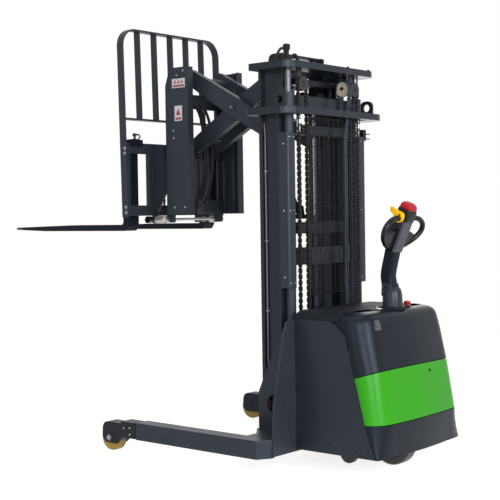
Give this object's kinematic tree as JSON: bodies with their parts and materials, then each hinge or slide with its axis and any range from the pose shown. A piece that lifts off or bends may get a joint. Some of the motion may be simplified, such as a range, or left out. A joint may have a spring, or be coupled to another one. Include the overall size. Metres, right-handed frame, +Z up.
{
  "type": "walkie reach truck",
  "caption": "Pedestrian-controlled straddle reach truck with a telescopic mast, free-lift carriage, folding scissor reach, tilting forks, load backrest and a tiller-steered drive wheel",
  "frame": {"origin": "on the floor, at the centre of the bounding box's footprint", "axes": "+X towards the fork tips, +Y to the truck's left, +Z up"},
  "size_m": [2.7584, 1.28, 2.3498],
  "materials": {
    "battery_case": "matte",
    "black_paint": "satin",
    "black_plastic": "matte",
    "cast_iron": "as cast",
    "chain_steel": "oiled",
    "chrome": "polished",
    "fork_paint": "satin",
    "frame_paint": "satin",
    "green_paint": "gloss",
    "grey_plastic": "matte",
    "hood_paint": "gloss",
    "polyurethane": "satin",
    "red_plastic": "gloss",
    "yellow_plastic": "gloss",
    "zinc": "brushed"
  },
  "bodies": {
    "chassis": {"leg_left": "frame_paint", "leg_right": "frame_paint", "cross_member": "frame_paint", "bulkhead_plate": "frame_paint", "side_panel_left": "frame_paint", "side_panel_right": "frame_paint", "wheel_housing_left": "black_paint", "wheel_housing_right": "black_paint", "chassis_floor": "black_paint", "battery": "battery_case", "deck_lid": "hood_paint", "hood_cover": "hood_paint", "hood_band": "green_paint", "hood_skirt": "hood_paint", "emergency_stop": "red_plastic", "mast_outer": "frame_paint", "lift_barrel_left": "frame_paint", "lift_barrel_right": "frame_paint", "cylinder_cover_left": "frame_paint", "cylinder_cover_right": "frame_paint", "mast_guard": "black_paint"},
    "load_wheel_left": {"load_wheel_left": "polyurethane"},
    "load_wheel_right": {"load_wheel_right": "polyurethane"},
    "caster_left": {"caster_fork_left": "zinc"},
    "caster_right": {"caster_fork_right": "zinc"},
    "caster_wheel_left": {"caster_wheel_left": "polyurethane"},
    "caster_wheel_right": {"caster_wheel_right": "polyurethane"},
    "steered_drive": {"drive_unit": "cast_iron", "tiller_base": "frame_paint"},
    "drive_wheel": {"drive_wheel": "polyurethane"},
    "tiller": {"tiller_arm": "frame_paint", "tiller_head": "grey_plastic", "tiller_grips": "black_plastic", "tiller_knobs": "yellow_plastic", "belly_button": "red_plastic"},
    "middle_mast": {"mast_middle": "frame_paint", "lift_rod_left": "chrome", "lift_rod_right": "chrome", "lift_chain_left": "chain_steel", "lift_chain_right": "chain_steel", "hose_pulley": "zinc"},
    "inner_mast": {"mast_inner": "frame_paint", "free_lift_barrel": "black_paint"},
    "free_lift": {"free_lift_rod": "chrome", "free_lift_head": "chain_steel"},
    "carriage": {"mast_carriage": "frame_paint"},
    "arm_a": {"scissor_arm_a": "frame_paint"},
    "arm_b": {"scissor_arm_b": "frame_paint"},
    "reach_barrel": {"reach_barrel": "black_paint"},
    "reach_rod": {"reach_rod": "chrome"},
    "reach_frame": {"reach_frame": "frame_paint"},
    "fork_carriage": {"fork_carriage": "frame_paint", "backrest": "frame_paint", "fork_left": "fork_paint", "fork_right": "fork_paint"},
    "tilt_barrels": {"tilt_barrels": "zinc"},
    "tilt_rods": {"tilt_rods": "zinc"}
  },
  "joints": [
    {"name": "load_wheel_left_roll", "type": "hinge", "parent": "chassis", "child": "load_wheel_left", "pos_m": [0.24385, 0.599, 0.072], "axis": [0, 1, 0], "continuous": true},
    {"name": "caster_left_swivel", "type": "hinge", "parent": "chassis", "child": "caster_left", "pos_m": [-0.97615, 0.12, 0.05], "axis": [0, 0, 1], "continuous": true},
    {"name": "caster_wheel_left_roll", "type": "hinge", "parent": "caster_left", "child": "caster_wheel_left", "pos_m": [-0.99615, 0.12, 0.05], "axis": [0, 1, 0], "continuous": true},
    {"name": "load_wheel_right_roll", "type": "hinge", "parent": "chassis", "child": "load_wheel_right", "pos_m": [0.24385, -0.599, 0.072], "axis": [0, 1, 0], "continuous": true},
    {"name": "caster_right_swivel", "type": "hinge", "parent": "chassis", "child": "caster_right", "pos_m": [-0.97615, -0.12, 0.05], "axis": [0, 0, 1], "continuous": true},
    {"name": "caster_wheel_right_roll", "type": "hinge", "parent": "caster_right", "child": "caster_wheel_right", "pos_m": [-0.99615, -0.12, 0.05], "axis": [0, 1, 0], "continuous": true},
    {"name": "steer", "type": "hinge", "parent": "chassis", "child": "steered_drive", "pos_m": [-1.19115, 0, 0.115], "axis": [0, 0, 1], "range_deg": [-90, 90]},
    {"name": "drive_wheel_roll", "type": "hinge", "parent": "steered_drive", "child": "drive_wheel", "pos_m": [-1.19115, 0, 0.115], "axis": [0, 1, 0], "continuous": true},
    {"name": "tiller_tilt", "type": "hinge", "parent": "steered_drive", "child": "tiller", "pos_m": [-1.17615, 0, 0.905], "axis": [0, -1, 0], "range_deg": [0, 70]},
    {"name": "mast_lift", "type": "slide", "parent": "chassis", "child": "middle_mast", "axis": [0, 0, 1], "range_m": [0, 1.45]},
    {"name": "inner_mast_lift", "type": "slide", "parent": "middle_mast", "child": "inner_mast", "axis": [0, 0, 1], "range_m": [0, 1.45]},
    {"name": "carriage_lift", "type": "slide", "parent": "inner_mast", "child": "carriage", "axis": [0, 0, 1], "range_m": [-1.13, 0]},
    {"name": "free_lift_stroke", "type": "slide", "parent": "inner_mast", "child": "free_lift", "axis": [0, 0, 1], "range_m": [-0.565, 0]},
    {"name": "reach_fold", "type": "hinge", "parent": "carriage", "child": "arm_b", "pos_m": [-0.60215, 0, 2.07], "axis": [0, 1, 0], "range_deg": [0, 44.8]},
    {"name": "scissor_cross", "type": "hinge", "parent": "arm_b", "child": "arm_a", "pos_m": [-0.26716, 0, 1.87503], "axis": [0, 1, 0], "range_deg": [-89.6, 0]},
    {"name": "reach_frame_level", "type": "hinge", "parent": "arm_a", "child": "reach_frame", "pos_m": [0.06784, 0, 2.07], "axis": [0, 1, 0], "range_deg": [0, 44.8]},
    {"name": "reach_barrel_swing", "type": "hinge", "parent": "carriage", "child": "reach_barrel", "pos_m": [-0.57215, 0, 1.31], "axis": [0, 1, 0], "range_deg": [-18.04, 0]},
    {"name": "reach_rod_stroke", "type": "slide", "parent": "reach_barrel", "child": "reach_rod", "axis": [0.475, 0, 0.88], "range_m": [-0.25032, 0]},
    {"name": "fork_tilt", "type": "hinge", "parent": "reach_frame", "child": "fork_carriage", "pos_m": [0.24385, 0, 1.66], "axis": [0, 1, 0], "range_deg": [-4, 3]},
    {"name": "tilt_barrel_swing", "type": "hinge", "parent": "reach_frame", "child": "tilt_barrels", "pos_m": [0.18285, 0, 1.262], "axis": [0, 1, 0], "range_deg": [-2.19, 1.64]},
    {"name": "tilt_rod_stroke", "type": "slide", "parent": "tilt_barrels", "child": "tilt_rods", "axis": [1, 0, 0], "range_m": [-0.0213, 0.0283]}
  ],
  "couplings": [
    {"joint": "inner_mast_lift", "follows": "mast_lift", "ratio": 1},
    {"joint": "free_lift_stroke", "follows": "carriage_lift", "ratio": 0.5},
    {"joint": "scissor_cross", "follows": "reach_fold", "ratio": -2},
    {"joint": "reach_frame_level", "follows": "reach_fold", "ratio": 1},
    {"joint": "reach_barrel_swing", "follows": "reach_fold", "ratio": -0.40234},
    {"joint": "reach_rod_stroke", "follows": "reach_fold", "m_per_rad": -0.31989},
    {"joint": "tilt_barrel_swing", "follows": "fork_tilt", "ratio": 0.54723},
    {"joint": "tilt_rod_stroke", "follows": "fork_tilt", "m_per_rad": -0.39764}
  ]
}
